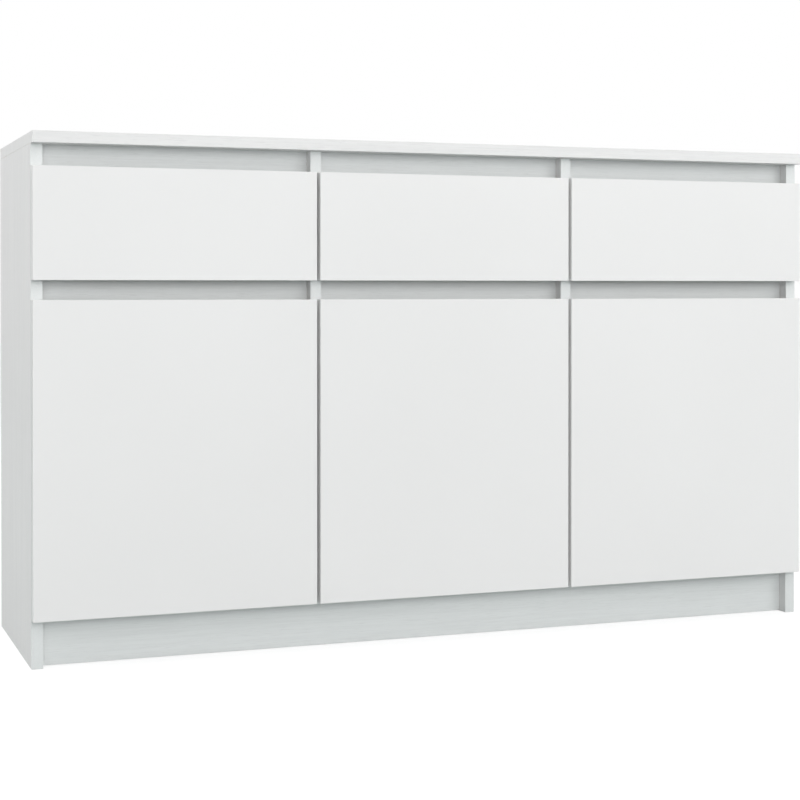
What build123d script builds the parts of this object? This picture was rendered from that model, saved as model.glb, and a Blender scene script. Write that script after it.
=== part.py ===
from build123d import *
import os

# Three-bay sideboard: a carcass of 16 mm boards with three drawers over three doors.
# Millimetres. X runs left to right, -Y is the front, Z is up. The origin is on the floor,
# in the middle of the footprint.

# Driving dimensions
WIDTH = 1200.0
DEPTH = 350.0
HEIGHT = 730.0
BOARD = 16.0
EDGE = 0.4                  # easing of every board edge

# Heights above the floor
PLINTH_BOTTOM = 1.0
BASE_BOTTOM = 66.0
DOOR_BOTTOM = 67.0
DOOR_TOP = 501.5
DRAWER_BOTTOM = 528.5
DRAWER_TOP = 683.0
RAIL = 60.0
LOWER_RAIL_BOTTOM = 470.0
SHELF_BOTTOM = 284.0
BASE_TOP = BASE_BOTTOM + BOARD
TOP_BOTTOM = HEIGHT - BOARD

# Front to back
FRONT = -DEPTH / 2
FRONT_BACK = FRONT + BOARD
DOOR_GAP = 3.0              # air between a closed front and the carcass edge
CARCASS_FRONT = FRONT_BACK + DOOR_GAP
RAIL_FRONT = CARCASS_FRONT + 18.0
RAIL_BACK = RAIL_FRONT + BOARD
NAIL_HEAD = 0.6
SHEET = 3.0                 # hardboard of the back and of the drawer bottoms
SHEET_BACK = DEPTH / 2 - NAIL_HEAD
CARCASS_BACK = SHEET_BACK - SHEET
SHELF_FRONT = CARCASS_FRONT + 40.0

# Left to right
SIDE_REVEAL = 1.5
FRONTS_GAP = 5.0
FRONTS_SHIFT = -1.3         # the fronts hang a little to the left of the carcass
BAY = (WIDTH - 4 * BOARD) / 3
BAYS = {"left": -BAY - BOARD, "middle": 0.0, "right": BAY + BOARD}
DIVIDER = (BAY + BOARD) / 2
SIDE = (WIDTH - BOARD) / 2
FRONT_SPANS = {
    "left": (-WIDTH / 2 + SIDE_REVEAL + FRONTS_SHIFT, -DIVIDER - FRONTS_GAP / 2 + FRONTS_SHIFT),
    "middle": (-DIVIDER + FRONTS_GAP / 2 + FRONTS_SHIFT, DIVIDER - FRONTS_GAP / 2 + FRONTS_SHIFT),
    "right": (DIVIDER + FRONTS_GAP / 2 + FRONTS_SHIFT, WIDTH / 2 - SIDE_REVEAL + FRONTS_SHIFT),
}

# Drawer boxes
RUNNER_SPACE = 12.5         # between the carcass and the drawer side
BOX_HALF = BAY / 2 - RUNNER_SPACE
BOX_BOTTOM = 539.0
BOX_TOP = 645.0
BOX_LENGTH = 290.0
BOX_BACK = FRONT_BACK + BOX_LENGTH
GROOVE_DEPTH = 5.0
GROOVE_BOTTOM = BOX_BOTTOM + 8.0
SHEET_EASE = 0.2

# Roller runners: a channel on the carcass, a track under each drawer side
STEEL = 1.2
CHANNEL_BOTTOM = 536.0
CHANNEL_HEIGHT = 18.4
CHANNEL_REACH = 10.3
CHANNEL_FRONT = CARCASS_FRONT + 2.0
CHANNEL_BACK = CHANNEL_FRONT + 300.0
CABINET_ROLLER = 9.2
DRAWER_ROLLER = 7.7
CABINET_ROLLER_Y = CHANNEL_FRONT + 12.0
CABINET_ROLLER_Z = CHANNEL_BOTTOM + 10.2
DRAWER_ROLLER_Y = BOX_BACK - 12.0
DRAWER_ROLLER_Z = CHANNEL_BOTTOM + STEEL + DRAWER_ROLLER + 0.25
FLANGE_FRONT = CABINET_ROLLER_Y + CABINET_ROLLER + 3.0
TRACK_BOTTOM = CABINET_ROLLER_Z + CABINET_ROLLER + 0.25
ROLLER_WIDTH = 7.6
ROLLER_GAP = 0.8
AXLE = 2.5
AXLE_FIT = 0.05
RUNNER_SCREWS = (FLANGE_FRONT + 12.0, FLANGE_FRONT + 122.0, CHANNEL_BACK - 20.0)

# Cup hinges. In a hinge's own frame X runs from the door's hinged edge along the door,
# Y from the door's back face into the cabinet, and Z is the height from the hinge's middle.
HINGE_HEIGHTS = (DOOR_BOTTOM + 90.0, DOOR_TOP - 90.0)
CUP = 17.45
CUP_X = 20.5
CUP_DEPTH = 12.5
CUP_INSIDE = 16.5
CUP_FLOOR = 0.8
CUP_FLANGE = 1.2
CUP_RIM = CUP + 1.6
CUP_SCREW_X = CUP_X + 9.5
CUP_SCREW_Z = 22.5
CUP_EARS = (17.0, 2 * CUP_SCREW_Z + 14.0)
EAR_CORNER = 5.0
PIN_X = 7.3
PIN_Y = -8.5
PIN = 1.2
PIN_HALF = 9.7
KNUCKLE = 2.4
KNUCKLE_HALF = 4.0
KNUCKLE_BORE = PIN + 0.06
ARM = 2.0
ARM_X = PIN_X + 11.0
ARM_CRANK = (6.5, 14.0)
ARM_END = 64.0
ARM_HALF = 6.0
ARM_SCREWS = (24.0, 56.0)
PLATE = 3.8
PLATE_SPAN = (19.0, 62.0)
PLATE_Y = DOOR_GAP + 37.0
PLATE_SCREW_Z = 16.0
PLATE_WINGS = (13.0, 2 * PLATE_SCREW_Z + 12.0)
HINGE_EDGES = {"left": FRONT_SPANS["left"][0], "middle": FRONT_SPANS["middle"][0],
               "right": FRONT_SPANS["right"][1]}
OVERLAYS = {
    "left": BOARD - WIDTH / 2 - HINGE_EDGES["left"],
    "middle": BOARD / 2 - DIVIDER - HINGE_EDGES["middle"],
    "right": HINGE_EDGES["right"] - WIDTH / 2 + BOARD,
}

# Fasteners
CAM = 7.4
CAM_DEPTH = 12.5
CAM_REACH = 34.0            # from a cam's centre to the seam that it closes
CAM_CROSS = (9.0, 1.8)
BOLT = 3.5
THREAD = 11.0
DOWEL = 4.0
DOWEL_INTO_END = 18.0
DOWEL_INTO_FACE = 11.0
DOWEL_INTO_DIVIDER = 7.5
FIT = 0.1                   # how much larger a hole is than what stands in it
SCREW = 1.75
SCREW_BITE = 7.5
PLATE_BITE = 11.0
SCREW_HEAD = 3.4
SCREW_HEAD_HEIGHT = 0.9
SCREW_CROSS = (3.6, 0.8)
SCREW_CROSS_DEPTH = 0.5
SHELF_PIN = 2.5
SHELF_PIN_BITE = 7.5
SHELF_PIN_REACH = 8.0
PIN_DEPTHS = (SHELF_FRONT + 30.0, CARCASS_BACK - 45.0)
PIN_PITCH = 32.0
PIN_ROWS = [SHELF_BOTTOM - SHELF_PIN + PIN_PITCH * step for step in (-2, -1, 0, 1, 2)]
NAIL = 0.8
NAIL_BITE = 15.0
NAIL_HEAD_RADIUS = 3.2
TOUCH = 0.05                # a hole that only reaches this far into a board misses it
FROM_FACE = (Align.CENTER, Align.CENTER, Align.MIN)

os.makedirs("parts", exist_ok=True)


def save(piece, label):
    """Name a finished piece and write its file."""
    piece.part.label = label
    export_step(piece.part, "parts/" + label + ".step")


# Joints. Each adds its fasteners here, and every board is later drilled for what crosses it.
holes = []
cams = []
bolts = []
dowels = []
screws = []
shelf_pins = []
nails = []


def cam(at, out, along):
    """A cam in a board's face at a point: it looks out, and its bolt runs along."""
    cams.append(Plane(origin=at, x_dir=along, z_dir=out))
    holes.append((at, at - out * (CAM_DEPTH + FIT), CAM + FIT))
    return at - out * (BOARD / 2)


def cam_joint(at, out, along):
    """A cam and the bolt that it pulls, screwed into the next board."""
    start = cam(at, out, along)
    end = start + along * (CAM_REACH + THREAD)
    bolts.append((start, end))
    holes.append((start, end + along * FIT, BOLT + FIT))


def dowel_joint(seam, along, bite=DOWEL_INTO_FACE):
    """A dowel across a seam, from a board's end into another's face."""
    start = seam - along * DOWEL_INTO_END
    end = seam + along * bite
    dowels.append((start, end))
    holes.append((start - along * FIT, end + along * FIT, DOWEL + FIT))


def drill(low, high):
    """Cut into the board between two corners every hole that crosses it."""
    for start, end, radius in holes:
        way = (end - start).normalized()
        crosses = True
        for axis in "XYZ":
            spread = radius * (1 - abs(getattr(way, axis)))
            first = min(getattr(start, axis), getattr(end, axis)) - spread
            last = max(getattr(start, axis), getattr(end, axis)) + spread
            if last < getattr(low, axis) + TOUCH or first > getattr(high, axis) - TOUCH:
                crosses = False
        if crosses:
            with Locations(Plane(origin=start, z_dir=way)):
                Cylinder(radius, (end - start).length, align=FROM_FACE, mode=Mode.SUBTRACT)


def board(low, high):
    """A board between two corners, its edges eased and its holes drilled."""
    size = high - low
    with BuildPart() as piece:
        with BuildSketch(Plane.XY.offset(low.Z)):
            with Locations(((low.X + high.X) / 2, (low.Y + high.Y) / 2)):
                Rectangle(size.X, size.Y)
        extrude(amount=size.Z)
        fillet(piece.edges(), EDGE)
        drill(low, high)
    return piece


RIGHT = Vector(1, 0, 0)
BACK = Vector(0, 1, 0)
UP = Vector(0, 0, 1)
UPRIGHTS = {"side_left": -SIDE, "divider_left": -DIVIDER, "divider_right": DIVIDER,
            "side_right": SIDE}
JOINT_DEPTHS = (-100.0, 110.0)
DOWEL_DEPTHS = (-40.0, 60.0)
DOWEL_BELOW = 20.0          # from the middle of a rail or plinth down to its dowel

# The uprights hold the top. Their cams face the bays, the dividers' the outer bays.
for name, x in UPRIGHTS.items():
    towards = 1 if x < 0 else -1
    if name.startswith("divider"):
        towards = -towards
    out = RIGHT * towards
    face = x + towards * BOARD / 2
    for y in JOINT_DEPTHS:
        cam_joint(Vector(face, y, TOP_BOTTOM - CAM_REACH), out, UP)
    for y in DOWEL_DEPTHS:
        dowel_joint(Vector(x, y, TOP_BOTTOM), UP)
    if name.startswith("divider"):
        for y in JOINT_DEPTHS:
            cam_joint(Vector(face, y, BASE_TOP + CAM_REACH), out, UP * -1)
        for y in DOWEL_DEPTHS:
            dowel_joint(Vector(x, y, BASE_TOP), UP * -1)

# The base and the plinth run between the sides.
INSIDE = WIDTH / 2 - BOARD
PLINTH_MIDDLE = (PLINTH_BOTTOM + BASE_BOTTOM) / 2
DOWEL_SEAM = RAIL_FRONT + BOARD / 2
for hand in (-1, 1):
    out = RIGHT * hand
    for y in JOINT_DEPTHS:
        cam_joint(Vector(hand * (INSIDE - CAM_REACH), y, BASE_BOTTOM), UP * -1, out)
    for y in DOWEL_DEPTHS:
        dowel_joint(Vector(hand * INSIDE, y, BASE_BOTTOM + BOARD / 2), out)
    cam_joint(Vector(hand * (INSIDE - CAM_REACH), RAIL_BACK, PLINTH_MIDDLE), BACK, out)
    dowel_joint(Vector(hand * INSIDE, DOWEL_SEAM, PLINTH_MIDDLE - DOWEL_BELOW), out)

# The rails run between the uprights. One long bolt ties the rails on both sides of a divider.
RAIL_BOTTOMS = {"upper": TOP_BOTTOM - RAIL, "lower": LOWER_RAIL_BOTTOM}
for bottom in RAIL_BOTTOMS.values():
    middle = bottom + RAIL / 2
    for hand in (-1, 1):
        out = RIGHT * hand
        cam_joint(Vector(hand * (INSIDE - CAM_REACH), RAIL_BACK, middle), BACK, out)
        dowel_joint(Vector(hand * INSIDE, DOWEL_SEAM, middle - DOWEL_BELOW), out)
        outer = cam(Vector(hand * (DIVIDER + BOARD / 2 + CAM_REACH), RAIL_BACK, middle),
                    BACK, out * -1)
        inner = cam(Vector(hand * (DIVIDER - BOARD / 2 - CAM_REACH), RAIL_BACK, middle),
                    BACK, out)
        bolts.append((inner, outer))
        holes.append((inner, outer, BOLT + FIT))
        for side in (-1, 1):
            seam = Vector(hand * DIVIDER + side * BOARD / 2, DOWEL_SEAM, middle - DOWEL_BELOW)
            dowel_joint(seam, RIGHT * -side, DOWEL_INTO_DIVIDER)

# Rows of shelf-pin holes line both walls of each bay, and four pins carry each shelf.
for centre in BAYS.values():
    for hand in (-1, 1):
        wall = centre + hand * BAY / 2
        for y in PIN_DEPTHS:
            for z in PIN_ROWS:
                start = Vector(wall, y, z)
                holes.append((start, start + RIGHT * hand * (SHELF_PIN_BITE + FIT), SHELF_PIN))
            shelf_pins.append(Plane(origin=(wall, y, SHELF_BOTTOM - SHELF_PIN),
                                    z_dir=RIGHT * -hand))

# Nails hold each back sheet all round.
SHEET_INSET = 2.0
SHEET_SPANS = {"left": (-WIDTH / 2 + SHEET_INSET, -DIVIDER), "middle": (-DIVIDER, DIVIDER),
               "right": (DIVIDER, WIDTH / 2 - SHEET_INSET)}
SHEET_BOTTOM = BASE_BOTTOM + SHEET_INSET
SHEET_TOP = HEIGHT - SHEET_INSET
SHEET_SEAM = 0.6
NAIL_INSET = 5.0
NAIL_STEPS = 6
for first, last in SHEET_SPANS.values():
    low_z = SHEET_BOTTOM + NAIL_INSET
    high_z = SHEET_TOP - NAIL_INSET
    for step in range(NAIL_STEPS):
        z = low_z + (high_z - low_z) * step / (NAIL_STEPS - 1)
        nails.append(Vector(first + NAIL_INSET, SHEET_BACK, z))
        nails.append(Vector(last - NAIL_INSET, SHEET_BACK, z))
    for share in (1 / 3, 2 / 3):
        x = first + (last - first) * share
        nails.append(Vector(x, SHEET_BACK, low_z))
        nails.append(Vector(x, SHEET_BACK, high_z))
for at in nails:
    holes.append((at, at - BACK * (SHEET + NAIL_BITE + FIT), NAIL + FIT / 2))

# Three screws hold each cabinet runner, in the middle of its web.
for centre in BAYS.values():
    for hand in (-1, 1):
        for y in RUNNER_SCREWS:
            at = Vector(centre + hand * (BAY / 2 - STEEL), y, CHANNEL_BOTTOM + CHANNEL_HEIGHT / 2)
            screws.append((Plane(origin=at, z_dir=RIGHT * hand), STEEL + SCREW_BITE))
            holes.append((at, at + RIGHT * hand * (STEEL + SCREW_BITE + FIT), SCREW + FIT))

# Each hinge has a cup bored into the door and a plate screwed to the upright.
for bay, edge in HINGE_EDGES.items():
    hand = -1 if bay == "right" else 1
    for height in HINGE_HEIGHTS:
        middle = Vector(edge + hand * CUP_X, FRONT_BACK, height)
        holes.append((middle, middle - BACK * (CUP_DEPTH + FIT), CUP + FIT))
        for up in (-1, 1):
            at = Vector(edge + hand * (OVERLAYS[bay] + PLATE), FRONT_BACK + PLATE_Y,
                        height + up * PLATE_SCREW_Z)
            screws.append((Plane(origin=at, z_dir=RIGHT * -hand), PLATE + PLATE_BITE))
            end = at - RIGHT * hand * (PLATE + PLATE_BITE + FIT)
            holes.append((at, end, SCREW + FIT))

# Carcass boards
SHELF_SIDE_GAP = 1.0
SHELF_BACK_GAP = 3.0
half = BOARD / 2
top = board(Vector(-WIDTH / 2, FRONT, TOP_BOTTOM), Vector(WIDTH / 2, CARCASS_BACK, HEIGHT))
save(top, "top_panel")

UPRIGHT_NAMES = {"side_left": "side_panel_left", "side_right": "side_panel_right",
                 "divider_left": "divider_left", "divider_right": "divider_right"}
for name, x in UPRIGHTS.items():
    foot = BASE_TOP if name.startswith("divider") else 0.0
    upright = board(Vector(x - half, CARCASS_FRONT, foot),
                    Vector(x + half, CARCASS_BACK, TOP_BOTTOM))
    save(upright, UPRIGHT_NAMES[name])

base = board(Vector(-INSIDE, CARCASS_FRONT, BASE_BOTTOM), Vector(INSIDE, CARCASS_BACK, BASE_TOP))
save(base, "bottom_panel")

plinth = board(Vector(-INSIDE, RAIL_FRONT, PLINTH_BOTTOM), Vector(INSIDE, RAIL_BACK, BASE_BOTTOM))
save(plinth, "plinth")

for bay, centre in BAYS.items():
    for level, bottom in RAIL_BOTTOMS.items():
        rail = board(Vector(centre - BAY / 2, RAIL_FRONT, bottom),
                     Vector(centre + BAY / 2, RAIL_BACK, bottom + RAIL))
        save(rail, level + "_rail_" + bay)
    shelf_half = BAY / 2 - SHELF_SIDE_GAP
    shelf = board(Vector(centre - shelf_half, SHELF_FRONT, SHELF_BOTTOM),
                  Vector(centre + shelf_half, CARCASS_BACK - SHELF_BACK_GAP, SHELF_BOTTOM + BOARD))
    save(shelf, "shelf_" + bay)

with BuildPart() as back_sheets:
    for first, last in SHEET_SPANS.values():
        with BuildSketch(Plane.XZ.offset(-SHEET_BACK)):
            with Locations(((first + last) / 2, (SHEET_BOTTOM + SHEET_TOP) / 2)):
                Rectangle(last - first - SHEET_SEAM, SHEET_TOP - SHEET_BOTTOM)
        extrude(amount=SHEET)
    for at in nails:
        with Locations(Plane(origin=at, z_dir=(0, -1, 0))):
            Cylinder(NAIL + FIT / 2, SHEET, align=FROM_FACE, mode=Mode.SUBTRACT)
save(back_sheets, "back_sheets")


# Fasteners: one of each is made at the origin, then copied to every place
with BuildPart() as one_cam:
    Cylinder(CAM, CAM_DEPTH, align=(Align.CENTER, Align.CENTER, Align.MAX))
    with BuildSketch(Plane.XY):
        Rectangle(*CAM_CROSS)
        Rectangle(*reversed(CAM_CROSS))
    extrude(amount=-CAM_CROSS[1], mode=Mode.SUBTRACT)
    with BuildSketch(Plane.XZ):
        with Locations((0.0, -BOARD / 2)):
            Rectangle(CAM + 1.0, 2 * (BOLT + FIT), align=(Align.MIN, Align.CENTER))
    extrude(amount=BOLT + FIT, both=True, mode=Mode.SUBTRACT)

with BuildPart() as cam_locks:
    with Locations(*cams):
        add(one_cam.part)
save(cam_locks, "cam_locks")


def rods(pairs, radius, tip):
    """Straight rods between pairs of points, with chamfered ends."""
    with BuildPart() as group:
        for start, end in pairs:
            with BuildSketch(Plane(origin=start, z_dir=end - start)):
                Circle(radius)
            extrude(amount=(end - start).length)
        chamfer(group.edges().filter_by(GeomType.CIRCLE), tip)
    return group


save(rods(bolts, BOLT, 0.8), "cam_bolts")
save(rods(dowels, DOWEL, 1.0), "dowels")


def screw(length):
    """A pan-head screw on the origin: head below the XY plane, shank above it."""
    with BuildPart() as piece:
        with BuildSketch(Plane.XY):
            Circle(SCREW_HEAD)
        extrude(amount=-SCREW_HEAD_HEIGHT)
        chamfer(piece.edges().sort_by(Axis.Z)[0], 0.4)
        with BuildSketch(Plane.XY.offset(-SCREW_HEAD_HEIGHT)):
            Rectangle(*SCREW_CROSS)
            Rectangle(*reversed(SCREW_CROSS))
        extrude(amount=SCREW_CROSS_DEPTH, mode=Mode.SUBTRACT)
        with BuildSketch(Plane.XY):
            Circle(SCREW)
        extrude(amount=length)
        chamfer(piece.edges().sort_by(Axis.Z)[-1], 0.8)
    return piece.part


with BuildPart() as fixing_screws:
    for place, length in screws:
        with Locations(place):
            add(screw(length))
save(fixing_screws, "fixing_screws")

with BuildPart() as one_shelf_pin:
    Cylinder(SHELF_PIN - FIT / 2, SHELF_PIN_BITE, align=(Align.CENTER, Align.CENTER, Align.MAX))
    Cylinder(SHELF_PIN, SHELF_PIN_REACH, align=FROM_FACE)
    chamfer(one_shelf_pin.edges().sort_by(Axis.Z)[-1], 0.5)

with BuildPart() as shelf_pin_group:
    with Locations(*shelf_pins):
        add(one_shelf_pin.part)
save(shelf_pin_group, "shelf_pins")

with BuildPart() as one_nail:
    Cylinder(NAIL_HEAD_RADIUS, NAIL_HEAD, align=FROM_FACE)
    Cylinder(NAIL, SHEET + NAIL_BITE, align=(Align.CENTER, Align.CENTER, Align.MAX))

with BuildPart() as nail_group:
    with Locations(*[Plane(origin=at, z_dir=BACK) for at in nails]):
        add(one_nail.part)
save(nail_group, "back_nails")


# Roller runners. Each hand is drawn against the left wall of a bay centred on X = 0.
WALL = -BAY / 2
TRACK_OUTER = BOX_HALF * -1 - STEEL
TRACK_REACH = 9.3
UNDER_SIDE = 11.0
TRACK_TOP = TRACK_BOTTOM + STEEL
FOOT_TOP = BOX_BOTTOM
FOOT_BOTTOM = FOOT_TOP - STEEL


def profile(points, front, back):
    """A closed outline in X and Z, drawn out from front to back."""
    with BuildSketch(Plane.XZ.offset(-back)) as outline:
        with BuildLine():
            Polyline(*points, close=True)
        make_face()
    extrude(outline.sketch, amount=back - front)


def stub(x, y, z, towards, length, radius, mode=Mode.ADD):
    """A short round axle along X."""
    with Locations(Plane(origin=(x, y, z), z_dir=(towards, 0, 0))):
        Cylinder(radius, length, align=FROM_FACE, mode=mode)


CABINET_ROLLER_X = WALL + STEEL + ROLLER_GAP
DRAWER_ROLLER_X = TRACK_OUTER - ROLLER_GAP - ROLLER_WIDTH
RIVET = 0.6
ROLLER_EASE = 0.6

with BuildPart() as cabinet_runner_pair:
    low = CHANNEL_BOTTOM
    high = CHANNEL_BOTTOM + CHANNEL_HEIGHT
    web = [(WALL, low), (WALL + STEEL, low), (WALL + STEEL, high), (WALL, high)]
    profile(web, CHANNEL_FRONT, CHANNEL_BACK)
    for flange in (low, high - STEEL):
        lip = [(WALL, flange), (WALL + CHANNEL_REACH, flange),
               (WALL + CHANNEL_REACH, flange + STEEL), (WALL, flange + STEEL)]
        profile(lip, FLANGE_FRONT, CHANNEL_BACK)
    stub(WALL + STEEL, CABINET_ROLLER_Y, CABINET_ROLLER_Z, 1,
         ROLLER_GAP + ROLLER_WIDTH + RIVET, AXLE)
    for y in RUNNER_SCREWS:
        stub(WALL, y, low + CHANNEL_HEIGHT / 2, 1, STEEL, SCREW + FIT, mode=Mode.SUBTRACT)
    mirror(about=Plane.YZ)

with BuildPart() as cabinet_runners:
    with Locations(*[(centre, 0, 0) for centre in BAYS.values()]):
        add(cabinet_runner_pair.part)
save(cabinet_runners, "cabinet_runners")

with BuildPart() as drawer_runner_pair:
    web = [(TRACK_OUTER, FOOT_BOTTOM), (TRACK_OUTER + STEEL, FOOT_BOTTOM),
           (TRACK_OUTER + STEEL, TRACK_TOP), (TRACK_OUTER, TRACK_TOP)]
    profile(web, CHANNEL_FRONT, BOX_BACK)
    foot = [(TRACK_OUTER, FOOT_BOTTOM), (TRACK_OUTER + STEEL + UNDER_SIDE, FOOT_BOTTOM),
            (TRACK_OUTER + STEEL + UNDER_SIDE, FOOT_TOP), (TRACK_OUTER, FOOT_TOP)]
    profile(foot, CHANNEL_FRONT, BOX_BACK)
    track = [(TRACK_OUTER - TRACK_REACH, TRACK_BOTTOM), (TRACK_OUTER + STEEL, TRACK_BOTTOM),
             (TRACK_OUTER + STEEL, TRACK_TOP), (TRACK_OUTER - TRACK_REACH, TRACK_TOP)]
    profile(track, CHANNEL_FRONT, BOX_BACK)
    stub(TRACK_OUTER, DRAWER_ROLLER_Y, DRAWER_ROLLER_Z, -1,
         ROLLER_GAP + ROLLER_WIDTH + RIVET, AXLE)
    mirror(about=Plane.YZ)


def roller_pair(x, y, z, radius):
    """Two equal rollers on one axis, with eased rims and a running fit on their axles."""
    with BuildPart() as pair:
        with BuildSketch(Plane(origin=(x, y, z), x_dir=(0, 1, 0), z_dir=(1, 0, 0))):
            Circle(radius)
            Circle(AXLE + AXLE_FIT, mode=Mode.SUBTRACT)
        extrude(amount=ROLLER_WIDTH)
        rims = pair.edges().filter_by(GeomType.CIRCLE)
        fillet(rims.filter_by(lambda rim: rim.radius > AXLE + 1), ROLLER_EASE)
        mirror(about=Plane.YZ)
    return pair.part


def at_bay(shape, bay, label):
    """Copy a piece drawn about X = 0 to its bay."""
    with BuildPart() as piece:
        with Locations((BAYS[bay], 0, 0)):
            add(shape)
    save(piece, label)


cabinet_roller_pair = roller_pair(CABINET_ROLLER_X, CABINET_ROLLER_Y, CABINET_ROLLER_Z,
                                  CABINET_ROLLER)
drawer_roller_pair = roller_pair(DRAWER_ROLLER_X, DRAWER_ROLLER_Y, DRAWER_ROLLER_Z,
                                 DRAWER_ROLLER)

# Drawer boxes
with BuildPart() as drawer_side:
    with BuildSketch(Plane.XY.offset(BOX_BOTTOM)):
        with Locations((-BOX_HALF, FRONT_BACK)):
            Rectangle(BOARD, BOX_LENGTH, align=Align.MIN)
    extrude(amount=BOX_TOP - BOX_BOTTOM)
    fillet(drawer_side.edges().filter_by(Axis.Y), EDGE)
    with BuildSketch(Plane.XZ.offset(-BOX_BACK)):
        with Locations((-BOX_HALF + BOARD, GROOVE_BOTTOM)):
            Rectangle(GROOVE_DEPTH, SHEET + SHEET_EASE, align=(Align.MAX, Align.MIN))
    extrude(amount=BOX_LENGTH, mode=Mode.SUBTRACT)

INNER_HALF = BOX_HALF - BOARD
with BuildPart() as drawer_back:
    with BuildSketch(Plane.XY.offset(GROOVE_BOTTOM + SHEET + SHEET_EASE)):
        with Locations((0, BOX_BACK - BOARD)):
            Rectangle(2 * INNER_HALF, BOARD, align=(Align.CENTER, Align.MIN))
    extrude(amount=BOX_TOP - GROOVE_BOTTOM - SHEET - SHEET_EASE)
    fillet(drawer_back.edges().filter_by(Axis.X), EDGE)

GROOVE_PLAY = 0.5            # air between the bottom sheet's edge and the foot of its groove
SHEET_HALF = INNER_HALF + GROOVE_DEPTH - GROOVE_PLAY
with BuildPart() as drawer_bottom:
    with BuildSketch(Plane.XY.offset(GROOVE_BOTTOM + SHEET_EASE / 2)):
        with Locations((0, FRONT_BACK - GROOVE_DEPTH + GROOVE_PLAY)):
            Rectangle(2 * SHEET_HALF, BOX_LENGTH + GROOVE_DEPTH - GROOVE_PLAY,
                      align=(Align.CENTER, Align.MIN))
    extrude(amount=SHEET)


def front_board(bay, bottom, top):
    """A drawer front or a door: a board with every edge banded and eased."""
    first, last = FRONT_SPANS[bay]
    return board(Vector(first, FRONT, bottom), Vector(last, FRONT_BACK, top))


for bay, centre in BAYS.items():
    with BuildPart() as drawer_front:
        add(front_board(bay, DRAWER_BOTTOM, DRAWER_TOP).part)
        with BuildSketch(Plane.XZ.offset(-FRONT_BACK)):
            with Locations((centre, GROOVE_BOTTOM)):
                Rectangle(2 * (SHEET_HALF + GROOVE_PLAY), SHEET + SHEET_EASE,
                          align=(Align.CENTER, Align.MIN))
        extrude(amount=GROOVE_DEPTH, mode=Mode.SUBTRACT)
    save(drawer_front, "drawer_front_" + bay)
    at_bay(drawer_side.part, bay, "drawer_side_left_" + bay)
    at_bay(mirror(drawer_side.part, about=Plane.YZ), bay, "drawer_side_right_" + bay)
    at_bay(drawer_back.part, bay, "drawer_back_" + bay)
    at_bay(drawer_bottom.part, bay, "drawer_bottom_" + bay)
    at_bay(drawer_runner_pair.part, bay, "drawer_runners_" + bay)
    at_bay(drawer_roller_pair, bay, "drawer_rollers_" + bay)
    at_bay(cabinet_roller_pair, bay, "cabinet_rollers_" + bay)

# Hinges, each piece drawn in the hinge's own frame
with BuildPart() as hinge_cup:
    with BuildSketch(Plane.XZ):
        with Locations((CUP_X, 0)):
            Circle(CUP)
    extrude(amount=CUP_DEPTH)
    with BuildSketch(Plane.XZ):
        with Locations((CUP_X, 0)):
            Circle(CUP_RIM)
        with Locations((CUP_SCREW_X - 3.0, 0)):
            RectangleRounded(*CUP_EARS, EAR_CORNER)
    extrude(amount=-CUP_FLANGE)
    with BuildSketch(Plane.XZ.offset(-CUP_FLANGE)):
        with Locations((CUP_X, 0)):
            Circle(CUP_INSIDE)
        with Locations((CUP_SCREW_X, -CUP_SCREW_Z), (CUP_SCREW_X, CUP_SCREW_Z)):
            Circle(SCREW)
    extrude(amount=CUP_FLANGE + CUP_DEPTH - CUP_FLOOR, mode=Mode.SUBTRACT)
    with Locations((PIN_X, PIN_Y, 0)):
        Cylinder(PIN, 2 * PIN_HALF, mode=Mode.SUBTRACT)

with BuildPart() as hinge_pin:
    with Locations((PIN_X, PIN_Y, 0)):
        Cylinder(PIN, 2 * PIN_HALF)
    chamfer(hinge_pin.edges().filter_by(GeomType.CIRCLE), 0.2)


def hinge_arm(overlay):
    """The arm from the knuckle round to the mounting plate, cranked to suit the overlay."""
    seat = overlay + PLATE
    with BuildPart() as arm:
        with BuildSketch(Plane.XY.offset(-KNUCKLE_HALF)):
            with Locations((PIN_X, PIN_Y)):
                Circle(KNUCKLE)
            with BuildLine():
                Polyline(
                    (PIN_X, PIN_Y - ARM / 2),
                    (ARM_X + ARM, PIN_Y - ARM / 2),
                    (ARM_X + ARM, ARM_CRANK[0]),
                    (seat + ARM, ARM_CRANK[1]),
                    (seat + ARM, ARM_CRANK[1] + ARM),
                    (seat, ARM_CRANK[1] + ARM),
                    (seat, ARM_CRANK[1] - 0.5),
                    (ARM_X, ARM_CRANK[0] - 0.5),
                    (ARM_X, PIN_Y + ARM / 2),
                    (PIN_X, PIN_Y + ARM / 2),
                    close=True,
                )
            make_face()
            with Locations((PIN_X, PIN_Y)):
                Circle(KNUCKLE_BORE, mode=Mode.SUBTRACT)
        extrude(amount=2 * KNUCKLE_HALF)
        with BuildSketch(Plane.YZ.offset(seat)):
            with Locations((ARM_CRANK[1], 0)):
                Rectangle(ARM_END - ARM_CRANK[1], 2 * ARM_HALF, align=(Align.MIN, Align.CENTER))
            with Locations(*[(y, 0) for y in ARM_SCREWS]):
                Circle(SCREW + FIT, mode=Mode.SUBTRACT)
        extrude(amount=ARM)
    return arm.part


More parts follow.
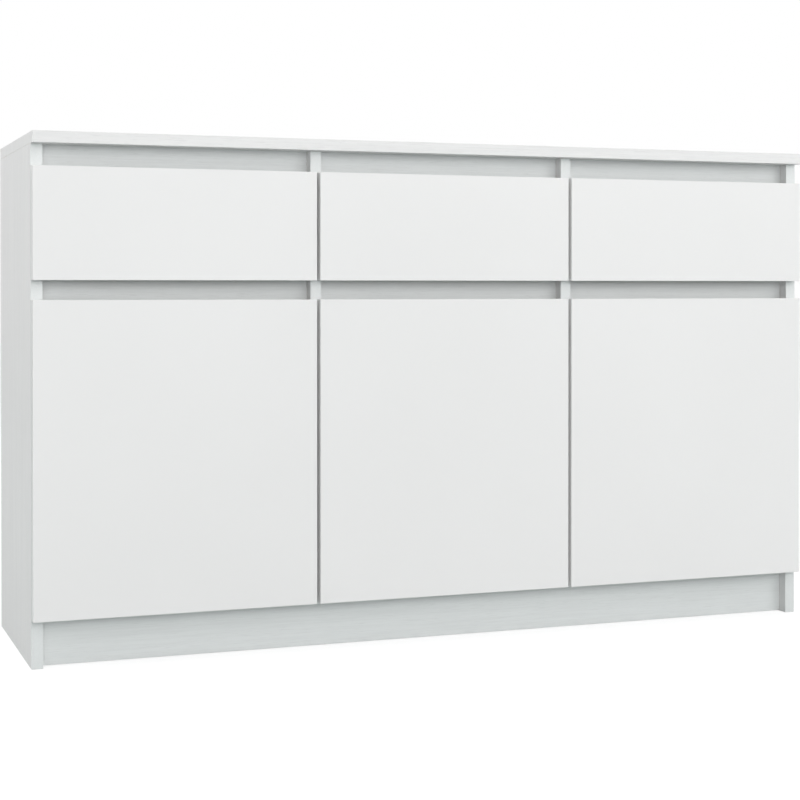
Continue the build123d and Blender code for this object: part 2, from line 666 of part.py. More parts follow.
def hinge_plate(overlay):
    """The mounting plate: a spine under the arm and two wings with screw holes."""
    with BuildPart() as plate:
        with BuildSketch(Plane.YZ.offset(overlay)):
            with Locations((PLATE_SPAN[0], 0)):
                Rectangle(PLATE_SPAN[1] - PLATE_SPAN[0], 2 * ARM_HALF,
                          align=(Align.MIN, Align.CENTER))
            with Locations((PLATE_Y, 0)):
                RectangleRounded(*PLATE_WINGS, EAR_CORNER)
            with Locations((PLATE_Y, -PLATE_SCREW_Z), (PLATE_Y, PLATE_SCREW_Z)):
                Circle(SCREW + FIT, mode=Mode.SUBTRACT)
            with Locations(*[(y, 0) for y in ARM_SCREWS]):
                Circle(SCREW + FIT, mode=Mode.SUBTRACT)
        extrude(amount=PLATE)
    return plate.part


def at_hinges(shape, bay):
    """Copies of a hinge piece at both hinges of a door. The right-hand door mirrors them."""
    if bay == "right":
        shape = mirror(shape, about=Plane.YZ)
    with BuildPart() as copies:
        with Locations(*[(HINGE_EDGES[bay], FRONT_BACK, height) for height in HINGE_HEIGHTS]):
            add(shape)
    return copies


hinge_arms = []
hinge_plates = []
arm_screws = []
for bay in BAYS:
    save(front_board(bay, DOOR_BOTTOM, DOOR_TOP), "door_" + bay)
    save(at_hinges(hinge_cup.part, bay), "hinge_cups_" + bay)
    save(at_hinges(hinge_pin.part, bay), "hinge_pins_" + bay)
    hinge_arms.append(at_hinges(hinge_arm(OVERLAYS[bay]), bay).part)
    hinge_plates.append(at_hinges(hinge_plate(OVERLAYS[bay]), bay).part)
    with BuildPart() as pair:
        for y in ARM_SCREWS:
            with Locations(Plane(origin=(OVERLAYS[bay] + PLATE + ARM, y, 0), z_dir=(-1, 0, 0))):
                add(screw(ARM + PLATE))
    arm_screws.append(at_hinges(pair.part, bay).part)

for label, shapes in (("hinge_arms", hinge_arms), ("hinge_plates", hinge_plates),
                      ("hinge_arm_screws", arm_screws)):
    with BuildPart() as group:
        add(shapes)
    save(group, label)
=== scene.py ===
import math

import bmesh
import bpy
from mathutils import Matrix, Vector


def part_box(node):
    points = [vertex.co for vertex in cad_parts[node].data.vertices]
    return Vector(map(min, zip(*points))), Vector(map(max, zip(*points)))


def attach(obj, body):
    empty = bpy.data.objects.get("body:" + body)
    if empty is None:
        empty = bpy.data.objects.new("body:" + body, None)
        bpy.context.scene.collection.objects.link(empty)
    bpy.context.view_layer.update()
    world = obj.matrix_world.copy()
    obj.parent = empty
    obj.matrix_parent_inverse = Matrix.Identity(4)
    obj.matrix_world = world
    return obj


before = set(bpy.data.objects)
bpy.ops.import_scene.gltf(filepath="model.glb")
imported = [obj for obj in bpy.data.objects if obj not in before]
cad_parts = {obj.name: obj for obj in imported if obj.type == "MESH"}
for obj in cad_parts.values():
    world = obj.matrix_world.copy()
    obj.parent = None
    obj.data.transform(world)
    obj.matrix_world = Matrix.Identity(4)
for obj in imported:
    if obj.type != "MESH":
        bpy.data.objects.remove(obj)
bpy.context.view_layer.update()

# Metres, in the CAD frame: +X to the right along the front, -Y is the front, +Z up.
MM = 0.001
BAYS = ("left", "middle", "right")


# ---------------------------------------------------------------- camera, light and stage
# The camera was fitted to the straight edges of the object in the photo.
EYE = (-0.9306, -2.5586, 0.5191)
EYE_TURN = math.radians(20.713)     # to the right of straight ahead
EYE_DOWN = math.radians(0.513)      # below level
LENS = 78.606                       # millimetres, on a sensor 36 wide
SENSOR = 36.0
SHIFT_X = -0.0375
SHIFT_Y = -0.1216


def make_camera():
    """The eye stands left of the cabinet, below its top, turned a little to the right."""
    data = bpy.data.cameras.new("camera")
    data.lens = LENS
    data.sensor_width = SENSOR
    data.shift_x = SHIFT_X
    data.shift_y = SHIFT_Y
    camera = bpy.data.objects.new("camera", data)
    camera.location = EYE
    camera.rotation_euler = (math.pi / 2 - EYE_DOWN, 0.0, -EYE_TURN)
    bpy.context.scene.collection.objects.link(camera)
    bpy.context.scene.camera = camera


# Each soft box: its name, where it is, what it faces, its width and height, and its watts.
CABINET = (0.0, 0.0, 0.45)
LEFT_SIDE = (-0.6, 0.0, 0.5)
SOFT_BOXES = [
    ("front", (0.0, -4.4, 1.5), CABINET, (4.0, 1.6), 44.0),
    ("low_front", (-1.8, -4.2, 0.9), CABINET, (3.0, 1.4), 19.5),
    ("high_front", (0.2, -3.4, 3.6), CABINET, (3.6, 1.8), 18.0),
    ("right", (3.0, -3.4, 1.6), CABINET, (2.4, 2.0), 41.5),
    ("left", (-3.6, 0.3, 2.6), LEFT_SIDE, (2.4, 2.0), 73.0),
    ("rear", (2.4, 3.4, 2.0), CABINET, (2.6, 2.0), 55.0),
]
SKY_BELOW = 0.35                    # the sky's strength at the horizon and below it
SKY_ABOVE = 0.72                    # and straight overhead
FLOOR_REACH = 14.0                  # from the floor's middle to each edge


def area_light(name, place, target, size, watts):
    """A soft box that stands at one place and faces another."""
    data = bpy.data.lights.new(name, "AREA")
    data.shape = "RECTANGLE"
    data.size = size[0]
    data.size_y = size[1]
    data.energy = watts
    light = bpy.data.objects.new(name, data)
    light.location = place
    aim = Vector(target) - Vector(place)
    light.rotation_euler = aim.to_track_quat("-Z", "Y").to_euler()
    bpy.context.scene.collection.objects.link(light)


def make_world():
    """A plain studio: the eye sees white, and the object gets a soft sky, brighter overhead."""
    world = bpy.data.worlds.new("studio")
    world.use_nodes = True
    tree = world.node_tree
    tree.nodes.clear()
    path = tree.nodes.new("ShaderNodeLightPath")
    seen = tree.nodes.new("ShaderNodeBackground")
    seen.inputs["Color"].default_value = (1.0, 1.0, 1.0, 1.0)
    seen.inputs["Strength"].default_value = 1.0
    sky = tree.nodes.new("ShaderNodeBackground")
    sky.inputs["Color"].default_value = (1.0, 1.0, 1.0, 1.0)
    way = tree.nodes.new("ShaderNodeTexCoord")
    parts = tree.nodes.new("ShaderNodeSeparateXYZ")
    height = tree.nodes.new("ShaderNodeMapRange")
    height.inputs["To Min"].default_value = SKY_BELOW
    height.inputs["To Max"].default_value = SKY_ABOVE
    tree.links.new(way.outputs["Generated"], parts.inputs["Vector"])
    tree.links.new(parts.outputs["Z"], height.inputs["Value"])
    tree.links.new(height.outputs["Result"], sky.inputs["Strength"])
    mix = tree.nodes.new("ShaderNodeMixShader")
    out = tree.nodes.new("ShaderNodeOutputWorld")
    tree.links.new(path.outputs["Is Camera Ray"], mix.inputs["Fac"])
    tree.links.new(sky.outputs["Background"], mix.inputs[1])
    tree.links.new(seen.outputs["Background"], mix.inputs[2])
    tree.links.new(mix.outputs["Shader"], out.inputs["Surface"])
    bpy.context.scene.world = world


def make_stage():
    """The lights, and a pale floor under the object."""
    for soft_box in SOFT_BOXES:
        area_light(*soft_box)
    floor_mesh = bpy.data.meshes.new("studio_floor")
    made = bmesh.new()
    bmesh.ops.create_grid(made, x_segments=2, y_segments=2, size=FLOOR_REACH)
    made.to_mesh(floor_mesh)
    made.free()
    floor = bpy.data.objects.new("studio_floor", floor_mesh)
    bpy.context.scene.collection.objects.link(floor)
    floor_mesh.materials.append(floor_material())


# ---------------------------------------------------------------- materials
class Nodes:
    """A short way to wire a material's nodes."""

    def __init__(self, name):
        self.material = bpy.data.materials.new(name)
        self.material.use_nodes = True
        self.tree = self.material.node_tree
        self.tree.nodes.clear()
        self.out = self.tree.nodes.new("ShaderNodeOutputMaterial")
        self.shader = self.tree.nodes.new("ShaderNodeBsdfPrincipled")
        self.link(self.shader.outputs["BSDF"], self.out.inputs["Surface"])

    def link(self, source, target):
        self.tree.links.new(source, target)

    def set(self, **values):
        for name, value in values.items():
            self.shader.inputs[name.replace("_", " ")].default_value = value

    def where(self, stretch=(1.0, 1.0, 1.0)):
        """The object's own coordinates, in metres, stretched along its axes."""
        place = self.tree.nodes.new("ShaderNodeTexCoord")
        scale = self.tree.nodes.new("ShaderNodeMapping")
        scale.inputs["Scale"].default_value = stretch
        self.link(place.outputs["Object"], scale.inputs["Vector"])
        return scale.outputs["Vector"]

    def noise(self, vector, scale, detail=4.0, roughness=0.5):
        """Cloudy noise, around one half."""
        made = self.tree.nodes.new("ShaderNodeTexNoise")
        made.inputs["Scale"].default_value = scale
        made.inputs["Detail"].default_value = detail
        made.inputs["Roughness"].default_value = roughness
        self.link(vector, made.inputs["Vector"])
        return made.outputs["Fac"]

    def cells(self, vector, scale):
        """A node that packs cells, with a distance and a random colour for each."""
        made = self.tree.nodes.new("ShaderNodeTexVoronoi")
        made.inputs["Scale"].default_value = scale
        self.link(vector, made.inputs["Vector"])
        return made

    def span(self, value, low, high, to_low=0.0, to_high=1.0):
        """A value from low to high becomes one from to_low to to_high, held at both ends."""
        made = self.tree.nodes.new("ShaderNodeMapRange")
        made.inputs["From Min"].default_value = low
        made.inputs["From Max"].default_value = high
        made.inputs["To Min"].default_value = to_low
        made.inputs["To Max"].default_value = to_high
        self.link(value, made.inputs["Value"])
        return made.outputs["Result"]

    def maths(self, operation, first, second):
        """A sum or product. Each side is a number or another node's output."""
        made = self.tree.nodes.new("ShaderNodeMath")
        made.operation = operation
        for socket, value in zip(made.inputs, (first, second)):
            if isinstance(value, (int, float)):
                socket.default_value = value
            else:
                self.link(value, socket)
        return made.outputs["Value"]

    def ramp(self, value, stops):
        """Colours at their positions from 0 to 1, blended between."""
        made = self.tree.nodes.new("ShaderNodeValToRGB")
        ends = made.color_ramp.elements
        while len(ends) < len(stops):
            ends.new(0.5)
        for end, (position, colour) in zip(ends, stops):
            end.position = position
            end.color = (*colour, 1.0)
        self.link(value, made.inputs["Fac"])
        return made.outputs["Color"]

    def bump(self, *layers):
        """Layers of (height, strength, distance in metres), one over another."""
        last = None
        for height, strength, distance in layers:
            made = self.tree.nodes.new("ShaderNodeBump")
            made.inputs["Strength"].default_value = strength
            made.inputs["Distance"].default_value = distance
            self.link(height, made.inputs["Height"])
            if last is not None:
                self.link(last, made.inputs["Normal"])
            last = made.outputs["Normal"]
        self.link(last, self.shader.inputs["Normal"])


def shade(base, factor):
    """A colour made darker or lighter by a factor."""
    return tuple(min(1.0, part * factor) for part in base)


WHITE = (0.856, 0.849, 0.846)           # faced boards
SHADED_WHITE = (0.815, 0.835, 0.832)      # rails, plinth and the front edges of the carcass: painted shade, darker and cooler than WHITE
FRONT_WHITE = (0.888, 0.881, 0.878)     # drawer fronts and doors


def faced_board(name, grain, base=WHITE, depth=1.0):
    """Melamine-faced board. Its printed and pressed pores run along one axis."""
    made = Nodes(name)

    def along(across, length):
        """Coordinates in which a grain is so many times wider and longer per metre."""
        return made.where(tuple(length if axis == grain else across for axis in "XYZ"))

    bands = made.noise(along(across=70.0, length=2.5), scale=1.0, detail=2.0, roughness=0.5)
    streaks = made.noise(along(across=330.0, length=9.0), scale=1.0, detail=3.0, roughness=0.6)
    pores = made.noise(along(across=1100.0, length=45.0), scale=1.0, detail=2.0, roughness=0.65)
    tone = made.maths("ADD", made.maths("MULTIPLY", bands, 0.4), made.maths("MULTIPLY", streaks, 0.6))
    pits = made.span(pores, 0.30, 0.44)
    colour = made.ramp(tone, [(0.32, shade(base, 0.95)), (0.5, base), (0.68, shade(base, 1.035))])
    speck = made.tree.nodes.new("ShaderNodeMix")
    speck.data_type = "RGBA"
    speck.inputs["A"].default_value = (*shade(base, 0.93), 1.0)
    made.link(pits, speck.inputs["Factor"])
    made.link(colour, speck.inputs["B"])
    made.link(speck.outputs["Result"], made.shader.inputs["Base Color"])
    made.link(made.span(streaks, 0.3, 0.7, 0.38, 0.5), made.shader.inputs["Roughness"])
    made.bump((streaks, 0.14 * depth, 0.0004), (pits, 0.2 * depth, 0.00015))
    made.set(Specular_IOR_Level=0.4)
    return made.material


def smooth_front(name, base):
    """The satin face of a door or drawer front: a fine pebbled film over board."""
    made = Nodes(name)
    pebble = made.cells(made.where(), 900.0).outputs["Distance"]
    waves = made.noise(made.where((1.0, 1.0, 0.6)), 26.0, 3.0, 0.45)
    cloud = made.noise(made.where(), 2.4, 2.0, 0.5)
    colour = made.ramp(cloud, [(0.3, shade(base, 0.985)), (0.7, shade(base, 1.01))])
    made.link(colour, made.shader.inputs["Base Color"])
    made.link(made.span(waves, 0.3, 0.7, 0.34, 0.44), made.shader.inputs["Roughness"])
    made.bump((waves, 0.05, 0.0006), (pebble, 0.06, 0.0001))
    made.set(Specular_IOR_Level=0.42)
    return made.material


def edge_band(name, base):
    """Extruded edge strip: smoother than the face, with faint lines along its length."""
    made = Nodes(name)
    lines = made.noise(made.where((40.0, 40.0, 40.0)), 9.0, 3.0, 0.5)
    colour = made.ramp(lines, [(0.3, shade(base, 0.975)), (0.7, shade(base, 1.01))])
    made.link(colour, made.shader.inputs["Base Color"])
    made.link(made.span(lines, 0.3, 0.7, 0.28, 0.4), made.shader.inputs["Roughness"])
    made.bump((lines, 0.05, 0.0002))
    made.set(Specular_IOR_Level=0.45)
    return made.material


def chipboard(name):
    """A sawn, unbanded edge: packed chips of several browns."""
    made = Nodes(name)
    chips = made.cells(made.where((1.0, 1.0, 2.2)), 420.0)
    fibres = made.noise(made.where((1.0, 1.0, 1.8)), 700.0, 4.0, 0.7)
    blend = made.maths("ADD", made.maths("MULTIPLY", chips.outputs["Color"], 0.55),
                       made.maths("MULTIPLY", fibres, 0.45))
    colour = made.ramp(blend, [(0.2, (0.26, 0.17, 0.09)), (0.5, (0.50, 0.36, 0.21)),
                               (0.8, (0.70, 0.56, 0.37))])
    made.link(colour, made.shader.inputs["Base Color"])
    made.bump((blend, 0.6, 0.0006))
    made.set(Roughness=0.88, Specular_IOR_Level=0.2)
    return made.material


def hardboard(name):
    """The bare brown face of a pressed fibre sheet."""
    made = Nodes(name)
    fibres = made.noise(made.where(), 260.0, 6.0, 0.7)
    cloud = made.noise(made.where(), 5.0, 3.0, 0.55)
    blend = made.maths("ADD", made.maths("MULTIPLY", fibres, 0.75), made.maths("MULTIPLY", cloud, 0.25))
    colour = made.ramp(blend, [(0.3, (0.20, 0.115, 0.055)), (0.55, (0.31, 0.19, 0.10)),
                               (0.75, (0.42, 0.28, 0.16))])
    made.link(colour, made.shader.inputs["Base Color"])
    made.link(made.span(fibres, 0.3, 0.7, 0.62, 0.8), made.shader.inputs["Roughness"])
    made.bump((fibres, 0.25, 0.0004))
    made.set(Specular_IOR_Level=0.3)
    return made.material


def metal(name, base, rough, brush=(1.0, 1.0, 1.0)):
    """Plated steel with a fine brushed haze."""
    made = Nodes(name)
    haze = made.noise(made.where(brush), 900.0, 4.0, 0.6)
    spots = made.noise(made.where(), 120.0, 2.0, 0.5)
    colour = made.ramp(spots, [(0.3, shade(base, 0.9)), (0.7, shade(base, 1.05))])
    made.link(colour, made.shader.inputs["Base Color"])
    made.link(made.span(haze, 0.25, 0.75, rough * 0.8, rough * 1.3), made.shader.inputs["Roughness"])
    made.bump((haze, 0.08, 0.0001))
    made.set(Metallic=1.0)
    return made.material


def plastic(name, base, rough):
    """Moulded or powder-coated surface with a slight orange peel."""
    made = Nodes(name)
    peel = made.noise(made.where(), 650.0, 3.0, 0.5)
    cloud = made.noise(made.where(), 60.0, 2.0, 0.5)
    colour = made.ramp(cloud, [(0.3, shade(base, 0.96)), (0.7, shade(base, 1.02))])
    made.link(colour, made.shader.inputs["Base Color"])
    made.link(made.span(peel, 0.3, 0.7, rough * 0.9, rough * 1.15), made.shader.inputs["Roughness"])
    made.bump((peel, 0.12, 0.0001))
    return made.material


def soft_clear(name, base):
    """Clear silicone, a little milky."""
    made = Nodes(name)
    milk = made.noise(made.where(), 180.0, 3.0, 0.5)
    colour = made.ramp(milk, [(0.3, shade(base, 0.95)), (0.7, base)])
    made.link(colour, made.shader.inputs["Base Color"])
    made.link(made.span(milk, 0.3, 0.7, 0.2, 0.32), made.shader.inputs["Roughness"])
    made.set(Transmission_Weight=0.55, IOR=1.42)
    return made.material


def beech(name):
    """Bare turned beech, fine and even."""
    made = Nodes(name)
    grain = made.noise(made.where((300.0, 300.0, 300.0)), 1.5, 4.0, 0.6)
    colour = made.ramp(grain, [(0.3, (0.52, 0.36, 0.21)), (0.7, (0.70, 0.53, 0.35))])
    made.link(colour, made.shader.inputs["Base Color"])
    made.bump((grain, 0.3, 0.0003))
    made.set(Roughness=0.6)
    return made.material


FLOOR_BOUNCE = (0.335, 0.368, 0.364)    # the colour that the floor throws back at the object
FLOOR_GLOW = 1.2                        # strength of the white that the eye sees in it
FLOOR_LIFT = 0.6                        # how much of that white is mixed in


def floor_material():
    """Pale studio paper. The eye sees it near white, and it throws a dimmer, cooler light back."""
    made = Nodes("studio_floor")
    tooth = made.noise(made.where(), 40.0, 3.0, 0.5)
    seen = made.ramp(tooth, [(0.3, (0.93, 0.935, 0.935)), (0.7, (0.96, 0.96, 0.96))])
    path = made.tree.nodes.new("ShaderNodeLightPath")
    thrown = made.tree.nodes.new("ShaderNodeMix")
    thrown.data_type = "RGBA"
    thrown.inputs["A"].default_value = (*FLOOR_BOUNCE, 1.0)
    made.link(path.outputs["Is Camera Ray"], thrown.inputs["Factor"])
    made.link(seen, thrown.inputs["B"])
    made.link(thrown.outputs["Result"], made.shader.inputs["Base Color"])
    made.set(Roughness=0.9, Specular_IOR_Level=0.1)
    glow = made.tree.nodes.new("ShaderNodeEmission")
    glow.inputs["Color"].default_value = (1.0, 1.0, 1.0, 1.0)
    glow.inputs["Strength"].default_value = FLOOR_GLOW
    lift = made.tree.nodes.new("ShaderNodeMixShader")
    share = made.maths("MULTIPLY", path.outputs["Is Camera Ray"], FLOOR_LIFT)
    made.link(share, lift.inputs["Fac"])
    made.link(made.shader.outputs["BSDF"], lift.inputs[1])
    made.link(glow.outputs["Emission"], lift.inputs[2])
    made.link(lift.outputs["Shader"], made.out.inputs["Surface"])
    return made.material


# ---------------------------------------------------------------- dressing the CAD nodes
def paint(node, *materials, pick=None):
    """Give a node its materials. pick says, from a face's normal, which one a face takes."""
    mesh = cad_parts[node].data
    mesh.materials.clear()
    for material in materials:
        mesh.materials.append(material)
    for face in mesh.polygons:
        face.material_index = pick(face.normal) if pick else 0
    mesh.update()


upright = faced_board("faced_board_upright", "Z")
level = faced_board("faced_board_level", "X")
# The board for the rails and plinth, and the band for the carcass's front edges, are in a white with
# painted shade. It is darker and cooler, standing in for the shade in the recesses behind the fronts.
shaded_board = faced_board("faced_board_painted_shade", "X", SHADED_WHITE)
front_face = smooth_front("front_face", FRONT_WHITE)
band = edge_band("edge_band", FRONT_WHITE)
shaded_band = edge_band("edge_band_carcass_painted_shade", SHADED_WHITE)
bare_edge = chipboard("chipboard_edge")
brown_sheet = hardboard("hardboard_back")
white_sheet = faced_board("white_sheet", "X", shade(WHITE, 0.98), 0.6)
zinc = metal("bright_zinc", (0.62, 0.63, 0.64), 0.32)
nickel = metal("nickel_plate", (0.66, 0.65, 0.62), 0.24)
cast_zinc = metal("cast_zinc", (0.50, 0.50, 0.51), 0.42)
coat = plastic("powder_coat", (0.80, 0.80, 0.785), 0.42)
nylon = plastic("nylon", (0.76, 0.76, 0.73), 0.5)
silicone = soft_clear("silicone", (0.88, 0.89, 0.89))
dowel_wood = beech("beech")

# A face whose normal has more than this along an axis looks that way.
FACING = 0.7


def top_face(normal):
    """Bare at the back edge only."""
    return 1 if normal.y > FACING else 0


def upright_face(normal):
    """Bare at the back, top and bottom edges, and banded at the front one."""
    if normal.y > FACING or abs(normal.z) > FACING:
        return 2
    return 1 if normal.y < -FACING else 0


def shelf_face(normal):
    """Bare at the back edge and both ends, and banded at the front edge."""
    if normal.y > FACING or abs(normal.x) > FACING:
        return 2
    return 1 if normal.y < -FACING else 0


def rail_face(normal):
    """Bare at both ends, and banded along the top and bottom edges."""
    if abs(normal.x) > FACING:
        return 2
    return 1 if abs(normal.z) > FACING else 0


def front_side(normal):
    """A film on both faces, and bands all round."""
    return 0 if abs(normal.y) > FACING else 1


def drawer_board_face(normal):
    """Banded along the top edge."""
    return 1 if normal.z > FACING else 0


def back_sheet_face(normal):
    """White towards the cabinet's inside, and brown behind."""
    return 0 if normal.y < -FACING else 1


def bottom_sheet_face(normal):
    """White inside the drawer, and brown below."""
    return 0 if normal.z > FACING else 1


# How the names of CAD nodes start, and what each takes: its materials and which face has which.
# The first row that fits counts, and the last one takes every screw, nail, bolt and pin that's left.
FINISHES = [
    (("top_panel",), (level, bare_edge), top_face),
    # The carcass's front edges, the rails and the plinth take the white with painted shade.
    (("side_panel", "divider"), (upright, shaded_band, bare_edge), upright_face),
    (("shelf_pins",), (nickel,), None),
    (("bottom_panel", "shelf_"), (level, shaded_band, bare_edge), shelf_face),
    (("plinth", "upper_rail", "lower_rail"), (shaded_board, shaded_band, bare_edge), rail_face),
    (("drawer_front", "door_"), (front_face, band), front_side),
    (("drawer_side", "drawer_back"), (level, band), drawer_board_face),
    (("back_sheets",), (white_sheet, brown_sheet), back_sheet_face),
    (("drawer_bottom",), (white_sheet, brown_sheet), bottom_sheet_face),
    (("drawer_rollers", "cabinet_rollers"), (nylon,), None),
    (("drawer_runners", "cabinet_runners"), (coat,), None),
    (("hinge_cups", "hinge_arms", "hinge_plates"), (nickel,), None),
    (("cam_locks",), (cast_zinc,), None),
    (("dowels",), (dowel_wood,), None),
    (("",), (zinc,), None),
]
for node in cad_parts:
    for starts, materials, pick in FINISHES:
        if node.startswith(starts):
            paint(node, *materials, pick=pick)
            break


# ---------------------------------------------------------------- small pieces the CAD leaves out
def turned(made, place, profile, steps=32):
    """A solid turned about a place's Z axis. Each ring is (radius, height, how far it draws in
    between its four lobes), and the first and last rings are points."""
    rings = []
    for radius, height, draw in profile:
        ring = []
        for step in range(steps if radius else 1):
            angle = 2 * math.pi * step / steps
            reach = radius * (1 - draw * math.sin(2 * angle) ** 2)
            ring.append(made.verts.new(place @ Vector((reach * math.cos(angle),
                                                       reach * math.sin(angle), height))))
        rings.append(ring)
    for lower, upper in zip(rings, rings[1:]):
        for step in range(steps):
            corners = [lower[step % len(lower)], lower[(step + 1) % steps % len(lower)],
                       upper[(step + 1) % steps % len(upper)], upper[step % len(upper)]]
            made.faces.new(list(dict.fromkeys(corners)))


def looking(at, way):
    """A place whose Z axis looks one way."""
    return Matrix.Translation(at) @ Vector(way).to_track_quat("Z", "Y").to_matrix().to_4x4()


SHARP = math.radians(32)


def piece(name, body, material, build, bay):
    """A mesh piece for a bay. build adds its solids to a bmesh; the piece rides on a CAD body."""
    made = bmesh.new()
    build(made, bay)
    bmesh.ops.recalc_face_normals(made, faces=made.faces)
    mesh = bpy.data.meshes.new(name)
    made.to_mesh(mesh)
    made.free()
    mesh.materials.append(material)
    mesh.shade_smooth()
    mesh.set_sharp_from_angle(angle=SHARP)
    result = bpy.data.objects.new(name, mesh)
    bpy.context.scene.collection.objects.link(result)
    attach(result, body)


def scaled(*rings):
    """A profile given in millimetres."""
    return [(radius * MM, height * MM, draw) for radius, height, draw in rings]


# Each ring of a profile is a radius, a height over the surface it sits on, and the lobes' draw.
PAN_HEAD = scaled((0, -0.3, 0), (3.3, -0.3, 0), (3.3, 0.35, 0), (3.0, 0.85, 0), (2.2, 1.15, 0),
                  (1.75, 1.2, 0.62), (1.3, 0.45, 0.62), (0, 0.35, 0))
FLAT_HEAD = scaled((0, -0.3, 0), (3.6, -0.3, 0), (3.6, 0.1, 0), (3.35, 0.35, 0), (2.1, 0.4, 0),
                   (1.9, 0.38, 0.2), (1.8, 0.06, 0.2), (0, 0.04, 0))
CAM_FACE = scaled((0, -0.3, 0), (7.4, -0.3, 0), (7.4, 0.3, 0), (7.1, 0.5, 0), (4.6, 0.5, 0),
                  (4.3, 0.5, 0.6), (3.9, 0.08, 0.6), (0, 0.06, 0))
BUMPER = scaled((0, -0.2, 0), (3.6, -0.2, 0), (3.6, 0.7, 0), (3.3, 1.4, 0), (2.6, 2.1, 0),
                (1.5, 2.6, 0), (0, 2.75, 0))


# A door's hinges, in the hinge's own frame: X from the door's hinged edge along the door,
# Y from the door's back face into the cabinet, Z from the hinge's middle.
HINGE_INSET = 90.0 * MM
CUP_SCREW_X = 30.0 * MM
CUP_SCREW_Z = 22.5 * MM
CUP_FLANGE = 1.2 * MM
PLATE = 3.8 * MM
ARM = 2.0 * MM
ARM_HALF = 6.0 * MM
CHEEK = 1.1 * MM            # thickness of the folded sides of a hinge arm
CHEEK_RISE = 3.2 * MM
CHEEK_SPAN = (17.0 * MM, 63.5 * MM)
CHEEK_SLOPE = 5.0 * MM
CHEEK_FOOT = 0.4 * MM       # air between a cheek and the wall
CHEEK_EASE = 0.25 * MM
HINGE_WALLS = {"left": "side_panel_left", "middle": "divider_left", "right": "side_panel_right"}

# How far a door's bumpers are from its free edge, and from its top and its bottom.
UPPER_BUMPER = (4.0 * MM, 60.0 * MM)
LOWER_BUMPER = (14.0 * MM, 8.0 * MM)

# Fixings of a drawer box
HALF_BOARD = 8.0 * MM
CAM_DEPTH = 24.0 * MM       # from the front's back face
BACK_SCREW_HEIGHTS = (32.0 * MM, 81.0 * MM)
RUNNER_SCREW_DEPTHS = (30.0 * MM, 140.0 * MM, 250.0 * MM)
RUNNER_SCREW_INSET = 6.0 * MM
BOTTOM_SCREW_INSET = 68.0 * MM


def hinge_side(bay):
    """1 where a door is hinged on its left, or -1 on its right."""
    return -1 if bay == "right" else 1


def hinge_places(bay):
    """Where a door's two hinges are: at its hinged edge, on its back face."""
    low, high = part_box("door_" + bay)
    edge = low.x if hinge_side(bay) > 0 else high.x
    return [Vector((edge, high.y, z)) for z in (low.z + HINGE_INSET, high.z - HINGE_INSET)]


def cup_screws(made, bay):
    """Two screws hold each hinge cup's ears to the door."""
    for place in hinge_places(bay):
        for side in (-1, 1):
            at = place + Vector((hinge_side(bay) * CUP_SCREW_X, CUP_FLANGE, side * CUP_SCREW_Z))
            turned(made, looking(at, (0, 1, 0)), PAN_HEAD)


def plate(made, points, thickness, ease):
    """A plate with an outline of points, made thick along a vector, its edges eased."""
    face = made.faces.new([made.verts.new(point) for point in points])
    grown = bmesh.ops.extrude_face_region(made, geom=[face])["geom"]
    corners = [part for part in grown if isinstance(part, bmesh.types.BMVert)]
    bmesh.ops.translate(made, verts=corners, vec=thickness)
    edges = {edge for corner in corners for side in corner.link_faces for edge in side.edges}
    bmesh.ops.bevel(made, geom=list(edges), offset=ease, segments=2, affect="EDGES", profile=0.6)


def arm_cheeks(made, bay):
    """The folded sides that stiffen each hinge arm."""
    hand = hinge_side(bay)
    low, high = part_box(HINGE_WALLS[bay])
    wall = high.x if hand > 0 else low.x
    foot = wall + hand * CHEEK_FOOT
    back = wall + hand * (PLATE + ARM)
    crest = back + hand * CHEEK_RISE
    for place in hinge_places(bay):
        near, far = (place.y + y for y in CHEEK_SPAN)
        outline = [(foot, near), (back, near), (crest, near + CHEEK_SLOPE),
                   (crest, far - 2 * CHEEK_SLOPE), (back, far), (foot, far)]
        for z in (place.z - ARM_HALF - CHEEK, place.z + ARM_HALF):
            corners = [Vector((x, y, z)) for x, y in outline]
            plate(made, corners, Vector((0, 0, CHEEK)), CHEEK_EASE)


def door_bumpers(made, bay):
    """Two soft domes on a door's back, near its free edge."""
    hand = hinge_side(bay)
    low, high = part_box("door_" + bay)
    free = high.x if hand > 0 else low.x
    upper = Vector((free - hand * UPPER_BUMPER[0], high.y, high.z - UPPER_BUMPER[1]))
    lower = Vector((free - hand * LOWER_BUMPER[0], high.y, low.z + LOWER_BUMPER[1]))
    for at in (upper, lower):
        turned(made, looking(at, (0, 1, 0)), BUMPER)


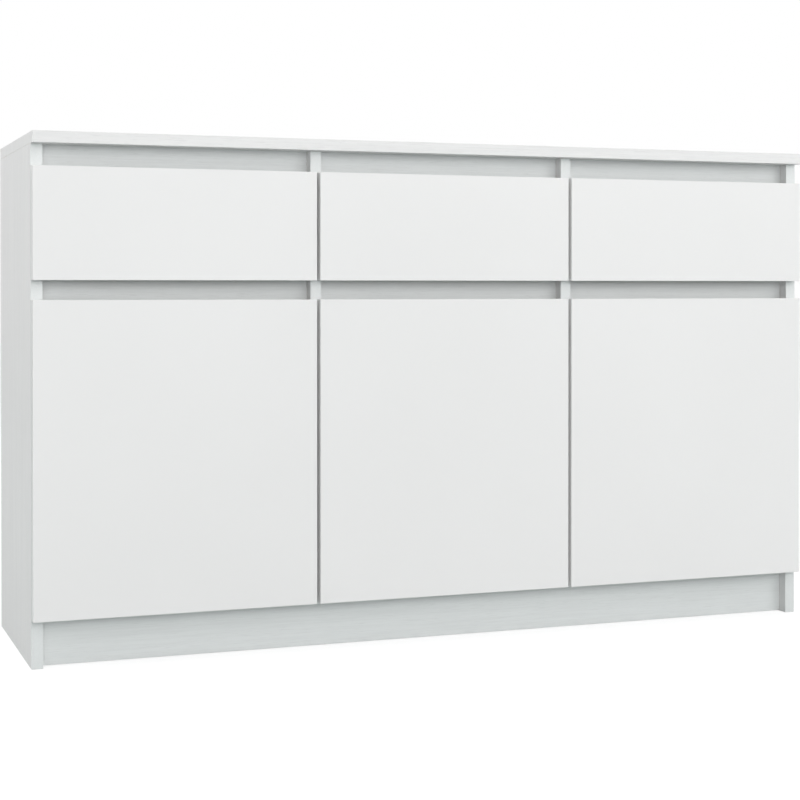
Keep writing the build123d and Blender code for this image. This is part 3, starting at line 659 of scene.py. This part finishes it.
def drawer_sides(bay):
    """Both sides of a drawer box: 1 for the left one or -1, and its lowest and highest corners."""
    return [(1, *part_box("drawer_side_left_" + bay)), (-1, *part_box("drawer_side_right_" + bay))]


def drawer_cams(made, bay):
    """A cam in the inner face of each drawer side pulls the front against it."""
    for inwards, low, high in drawer_sides(bay):
        inner = high.x if inwards > 0 else low.x
        at = Vector((inner, low.y + CAM_DEPTH, (low.z + high.z) / 2))
        turned(made, looking(at, (inwards, 0, 0)), CAM_FACE)


def drawer_screws(made, bay):
    """Screws through the sides into the back, up through the runners, and under the bottom."""
    runner_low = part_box("drawer_runners_" + bay)[0]
    bottom_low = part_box("drawer_bottom_" + bay)[0]
    down = (0, 0, -1)
    for inwards, low, high in drawer_sides(bay):
        outer = low.x if inwards > 0 else high.x
        back = high.y - HALF_BOARD
        for height in BACK_SCREW_HEIGHTS:
            at = Vector((outer, back, low.z + height))
            turned(made, looking(at, (-inwards, 0, 0)), FLAT_HEAD)
        for depth in RUNNER_SCREW_DEPTHS:
            at = Vector((outer + inwards * RUNNER_SCREW_INSET, low.y + depth, runner_low.z))
            turned(made, looking(at, down), PAN_HEAD)
        at = Vector((outer + inwards * (HALF_BOARD + BOTTOM_SCREW_INSET), back, bottom_low.z))
        turned(made, looking(at, down), PAN_HEAD)


# Each kind of piece: its name, the body it rides on, its slot, its material and its shape.
# The record has no slot for silicone, so the bumpers' row names the nylon one.
SMALL_PIECES = [
    ("hinge_cup_screws_{}", "door_{}_assembly", "zinc_steel", zinc, cup_screws),
    ("hinge_arm_cheeks_{}", "carcass", "nickel_steel", nickel, arm_cheeks),
    ("door_bumpers_{}", "door_{}_assembly", "white_nylon", silicone, door_bumpers),
    ("drawer_cams_{}", "drawer_{}", "zinc_cam", cast_zinc, drawer_cams),
    ("drawer_screws_{}", "drawer_{}", "zinc_steel", zinc, drawer_screws),
]
for bay in BAYS:
    for name, body, slot, material, build in SMALL_PIECES:
        piece(name.format(bay), body.format(bay), material, build, bay)

make_camera()
make_world()
make_stage()
bpy.context.scene.view_settings.view_transform = "Standard"
